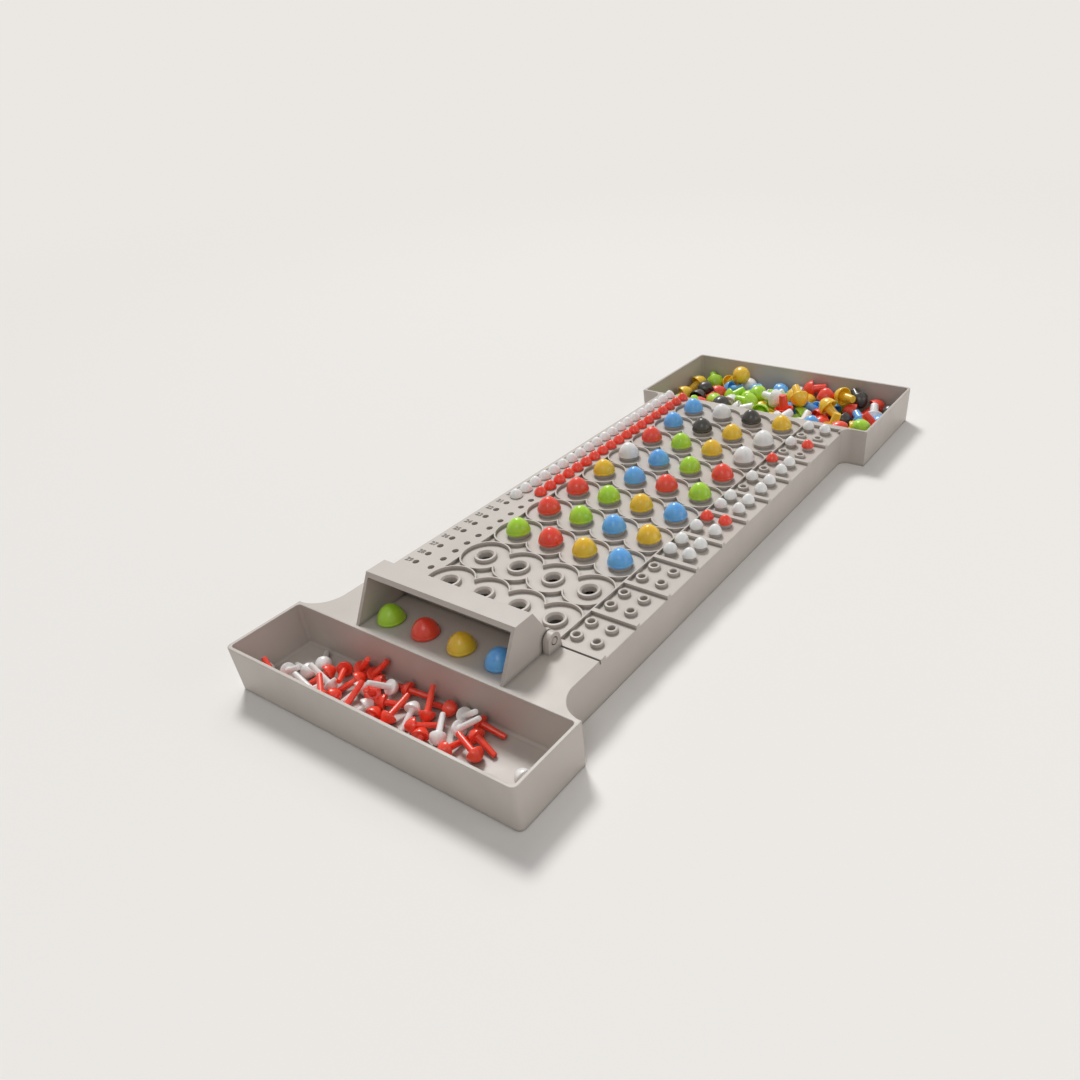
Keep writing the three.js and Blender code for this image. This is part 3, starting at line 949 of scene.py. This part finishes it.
heaps = {
    "near": [  # color, how many, and the stretch of the tray that they fall into, in mm
        ("white", 7, -68, -46),
        ("red", 9, -50, -28),
        ("white", 5, -34, -12),
        ("red", 9, -30, 12),
        ("white", 4, 0, 30),
        ("red", 11, 6, 36),
        ("white", 1, 62, 68),
    ],
    "far": [
        ("green", 21, -68, 66),
        ("yellow", 16, -66, 60),
        ("blue", 12, -30, 66),
        ("red", 14, -50, 68),
        ("white", 9, -36, 60),
        ("black", 8, -60, 68),
    ],
    "perLevel": {"near": 8, "far": 10},
    "levelHeight": {"near": 8, "far": 17},
    "lowest": {"near": 9, "far": 26},
    "tilt": {"near": 0.15, "far": 0.8},
    "apart": {"near": 9, "far": 15},
    "tries": 30,
    "margin": {"near": 8, "far": 9},  # from the walls along the tray
    "spare": 3,
    "crowding": {"near": 1, "far": 1.5},  # above 1, more of them fall near the board
    "upright": 0.8,  # a small peg that would be left standing steeper than this is left out
    "drift": 12,  # and so is one that rolled farther than this, in mm, from its color's stretch
    "friction": 0.6,
    "bounce": 0.05,
    "drag": 0.1,
    "spinDrag": 0.6,
    "pull": 98,  # a tenth of real gravity, in cm, so that they land softly
    "frames": 90,
    "seed": 12,
}
trayBoxes = {
    "near": (Vector((nearLow.x, nearLow.y, 0)), Vector((nearHigh.x, deckLow.y, 0))),
    "far": (Vector((farLow.x, deckHigh.y, 0)), Vector((farHigh.x, farHigh.y, 0))),
}


def bodyShape(piece, kind, shape):
    bpy.context.view_layer.objects.active = piece
    for other in bpy.context.selected_objects:
        other.select_set(False)
    piece.select_set(True)
    bpy.ops.rigidbody.object_add(type=kind)
    solid = piece.rigid_body
    solid.collision_shape = shape
    solid.friction = heaps["friction"]
    solid.restitution = heaps["bounce"]
    solid.use_margin = True
    solid.collision_margin = 0.005
    if kind == "ACTIVE":
        solid.linear_damping = heaps["drag"]
        solid.angular_damping = heaps["spinDrag"]


def slab(low, high):
    shape = bmesh.new()
    bmesh.ops.create_cube(shape, size=1)
    for vertex in shape.verts:
        vertex.co = [low[i] + (vertex.co[i] + 0.5) * (high[i] - low[i]) for i in range(3)]
    mesh = meshOf("slab", shape, turnOut=False)
    centre = Vector([(low[i] + high[i]) / 2 for i in range(3)])
    mesh.transform(Matrix.Translation(-centre))
    made = helper("slab", mesh)
    made.location = centre
    return made


def trayWalls(low, high):
    # room inside a tray, in cm, with walls that reach up to guide the fall
    up, thick = 60, 2
    floor = trays["floor"] * 100
    inset = (trays["wall"] + trays["lean"]) * 100
    x0, x1, y0, y1 = low.x * 100 + inset, high.x * 100 - inset, low.y * 100 + inset, high.y * 100 - inset
    return [
        slab((x0 - thick, y0 - thick, floor - thick), (x1 + thick, y1 + thick, floor)),
        slab((x0 - thick, y0 - thick, 0), (x0, y1 + thick, up)),
        slab((x1, y0 - thick, 0), (x1 + thick, y1 + thick, up)),
        slab((x0 - thick, y0 - thick, 0), (x1 + thick, y0, up)),
        slab((x0 - thick, y1, 0), (x1 + thick, y1 + thick, up)),
    ]


def looseShape(mesh, name):
    # the same peg in cm, about its own middle
    copy = mesh.copy()
    copy.name = name
    copy.transform(Matrix.Scale(100, 4))
    return copy


def pourPegs():
    random.seed(heaps["seed"])
    bpy.ops.rigidbody.world_add()
    scene.rigidbody_world.substeps_per_frame = 16
    scene.rigidbody_world.solver_iterations = 20
    scene.rigidbody_world.point_cache.frame_end = heaps["frames"]
    scene.gravity = (0, 0, -heaps["pull"])
    walls, falling = [], []
    shapes = {"near": looseShape(keyPegShape, "looseKey"), "far": looseShape(codePegShape, "looseCode")}
    for trayName, (low, high) in trayBoxes.items():
        for wall in trayWalls(low, high):
            bodyShape(wall, "PASSIVE", "BOX")
            walls.append(wall)
        wanted = [(color, x0, x1) for color, count, x0, x1 in heaps[trayName] for i in range(count)]
        random.shuffle(wanted)
        perLevel, rise = heaps["perLevel"][trayName], heaps["levelHeight"][trayName] / 10
        lowest, tilt = heaps["lowest"][trayName] / 10, heaps["tilt"][trayName]
        reach, apart = heaps["margin"][trayName] / 10, heaps["apart"][trayName] / 10
        spare = heaps["spare"] / 10
        taken = []
        for i, (color, x0, x1) in enumerate(wanted):
            piece = helper("falling", shapes[trayName])
            if i % perLevel == 0:
                taken = []
            for attempt in range(heaps["tries"]):
                x = random.uniform(x0, x1) / 10
                depth = random.random() ** heaps["crowding"][trayName]
                y = low.y * 100 + reach + spare + depth * ((high.y - low.y) * 100 - 2 * reach - 2 * spare)
                if all(math.hypot(x - a, y - b) > apart for a, b in taken):
                    break
            taken.append((x, y))
            piece.location = (x, y, lowest + rise * (i // perLevel) + 0.1 * (i % perLevel))
            lean = math.pi / 2 + random.uniform(-tilt, tilt)
            piece.rotation_euler = (lean, random.uniform(-tilt, tilt), random.uniform(0, 2 * math.pi))
            bodyShape(piece, "ACTIVE", "CONVEX_HULL")
            falling.append((trayName, color, (x0, x1), piece))
    for step in range(1, heaps["frames"] + 1):
        scene.frame_set(step)
    settled = []
    held = bpy.context.evaluated_depsgraph_get()
    for trayName, color, stretch, piece in falling:
        settled.append((trayName, color, stretch, piece.evaluated_get(held).matrix_world.copy()))
    scene.frame_set(1)
    bpy.ops.rigidbody.world_remove()
    for piece in walls + [fallen[-1] for fallen in falling]:
        bpy.data.objects.remove(piece)
    scene.gravity = (0, 0, -9.81)
    return settled


def insideOf(trayName):
    # the room between a tray's walls, with a hair's slack for contacts
    slack = 0.25 * mm
    inset = trays["wall"] - slack
    low, high = trayBoxes[trayName]
    return low + Vector((inset, inset, trays["floor"] - slack)), high - Vector((inset, inset, 0))


def loosePegs():
    laid = 0
    for trayName, color, stretch, place in pourPegs():
        x, y, z = place.translation / 100
        shape = keyPegShape if trayName == "near" else codePegShape
        turned = place.to_3x3()
        points = [turned @ v.co + Vector((x, y, z)) for v in shape.vertices]
        low, high = insideOf(trayName)
        if any(p.x < low.x or p.x > high.x or p.y < low.y or p.y > high.y or p.z < low.z for p in points):
            print("left out, through a wall:", trayName, color)
            continue
        drift = max(stretch[0] - x / mm, x / mm - stretch[1])
        steep = abs(turned.col[2].normalized().z)
        if trayName == "near" and (steep > heaps["upright"] or drift > heaps["drift"]):
            print("left out, steep or astray:", trayName, color)
            continue
        laid += 1
        name = f"loosePeg_{trayName}_{color}_{laid}"
        laidShape = shape.copy()
        laidShape.transform(turned.to_4x4())
        put(name, laidShape, pegPlastics[color], "board", (x, y, z), None)
    print("loose pegs laid:", laid)


loosePegs()


# Score numbers, raised beside the outer column, in a darker grey than the board

numbers = {
    "size": 3.9 * mm,
    "raised": 0.12 * mm,
    "edge": 0.05 * mm,
    "gap": 2.3 * mm,
    "light": shade(118, 112, 105),
    "dark": shade(104, 98, 92),
    "flow": 2 * mm,
    "roughness": 0.5,
    "unevenness": 0.05,
    "grainHeight": 0.01 * mm,
    "grainSize": 0.3 * mm,
}
darkNumberGrey = newPlastic("darkNumberGrey", numbers)


def scoreNumbers():
    parts = []
    for k, y in enumerate(scoreYs):
        text = bpy.data.curves.new("number", "FONT")
        text.body = str(len(scoreYs) - k)
        text.size = numbers["size"]
        text.align_x, text.align_y = "RIGHT", "CENTER"
        text.extrude = numbers["raised"]
        text.bevel_depth = numbers["edge"]
        text.resolution_u = 3
        holder = helper("number", text)
        parts.append((evaluated(holder), [(scoreXs[1] - numbers["gap"], y, landZ)]))
        bpy.data.objects.remove(holder)
    mesh = joined("scoreNumbers", parts)
    smooth(mesh)
    put("scoreNumbers", mesh, darkNumberGrey, "board")


scoreNumbers()
print("numbers raised")


# Floor and light

stage = {
    "floor": shade(245, 242, 238),
    "backdrop": shade(235, 231, 227),
    "roughness": 0.9,
    "size": 60,
    "lit": 0.4,  # how far out the floor takes light, and where it is all backdrop
    "plain": 1.3,
    "below": 0.05 * mm,
}


def paleFloor():
    # lit near the board, and passing into the plain backdrop farther out, where only the camera sees it
    material = bpy.data.materials.new("paleFloor")
    material.use_nodes = True
    nodes, links = material.node_tree.nodes, material.node_tree.links
    shader = nodes["Principled BSDF"]
    shader.inputs["Base Color"].default_value = stage["floor"]
    shader.inputs["Roughness"].default_value = stage["roughness"]
    place = nodes.new("ShaderNodeTexCoord")
    away = nodes.new("ShaderNodeVectorMath")
    away.operation = "LENGTH"
    links.new(place.outputs["Object"], away.inputs[0])
    fade = nodes.new("ShaderNodeMapRange")
    fade.interpolation_type = "SMOOTHSTEP"
    fade.inputs["From Min"].default_value = stage["lit"]
    fade.inputs["From Max"].default_value = stage["plain"]
    links.new(away.outputs["Value"], fade.inputs["Value"])
    path = nodes.new("ShaderNodeLightPath")
    seen = nodes.new("ShaderNodeMath")
    seen.operation = "MULTIPLY"
    links.new(fade.outputs["Result"], seen.inputs[0])
    links.new(path.outputs["Is Camera Ray"], seen.inputs[1])
    plain = nodes.new("ShaderNodeEmission")
    plain.inputs["Color"].default_value = stage["backdrop"]
    mix = nodes.new("ShaderNodeMixShader")
    links.new(seen.outputs["Value"], mix.inputs["Fac"])
    links.new(shader.outputs["BSDF"], mix.inputs[1])
    links.new(plain.outputs["Emission"], mix.inputs[2])
    links.new(mix.outputs["Shader"], nodes["Material Output"].inputs["Surface"])
    mesh = bpy.data.meshes.new("floor")
    half = stage["size"] / 2
    mesh.from_pydata([(x, y, 0) for x, y in oblong(-half, -half, half, half)], [], [(0, 1, 2, 3)])
    floor = helper("floor", mesh)
    floor.location.z = -stage["below"]
    mesh.materials.append(material)


lights = {
    "top": {"place": (-0.6, 0.8, 1.4), "size": 1.0, "power": 4.2},
    "fill": {"place": (1.5, 0.3, 0.5), "size": 1.0, "power": 3.3},
    "front": {"place": (0.5, -1.1, 1.4), "size": 0.8, "power": 3.6},
}
daylight = {"from": (-0.62, 0.52, 1.0), "strength": 1.7, "spread": 14, "room": 0.26}


def softLight(name, look):
    data = bpy.data.lights.new(name, "AREA")
    data.shape = "DISK"
    data.size = look["size"]
    data.energy = look["power"]
    lamp = helper(name, data)
    lamp.location = look["place"]
    lamp.rotation_euler = (-Vector(look["place"])).to_track_quat("-Z", "Y").to_euler()


paleFloor()
for lightName, look in lights.items():
    softLight(lightName, look)


def roomLight(look):
    data = bpy.data.lights.new("daylight", "SUN")
    data.energy = look["strength"]
    data.angle = math.radians(look["spread"])
    sun = helper("daylight", data)
    sun.rotation_euler = (-Vector(look["from"])).to_track_quat("-Z", "Y").to_euler()

    # the room is plain and pale where the camera sees it, and dimmer where it only lights the board
    world = bpy.data.worlds.new("room")
    scene.world = world
    world.use_nodes = True
    nodes, links = world.node_tree.nodes, world.node_tree.links
    lit = nodes["Background"]
    lit.inputs["Color"].default_value = (1, 1, 1, 1)
    lit.inputs["Strength"].default_value = look["room"]
    seen = nodes.new("ShaderNodeBackground")
    seen.inputs["Color"].default_value = stage["backdrop"]
    path = nodes.new("ShaderNodeLightPath")
    either = nodes.new("ShaderNodeMath")
    either.operation = "MAXIMUM"
    links.new(path.outputs["Is Camera Ray"], either.inputs[0])
    links.new(path.outputs["Is Glossy Ray"], either.inputs[1])
    mix = nodes.new("ShaderNodeMixShader")
    links.new(either.outputs["Value"], mix.inputs["Fac"])
    links.new(lit.outputs["Background"], mix.inputs[1])
    links.new(seen.outputs["Background"], mix.inputs[2])
    links.new(mix.outputs["Shader"], nodes["World Output"].inputs["Surface"])


roomLight(daylight)
scene.view_settings.view_transform = "Standard"
print("stage lit")
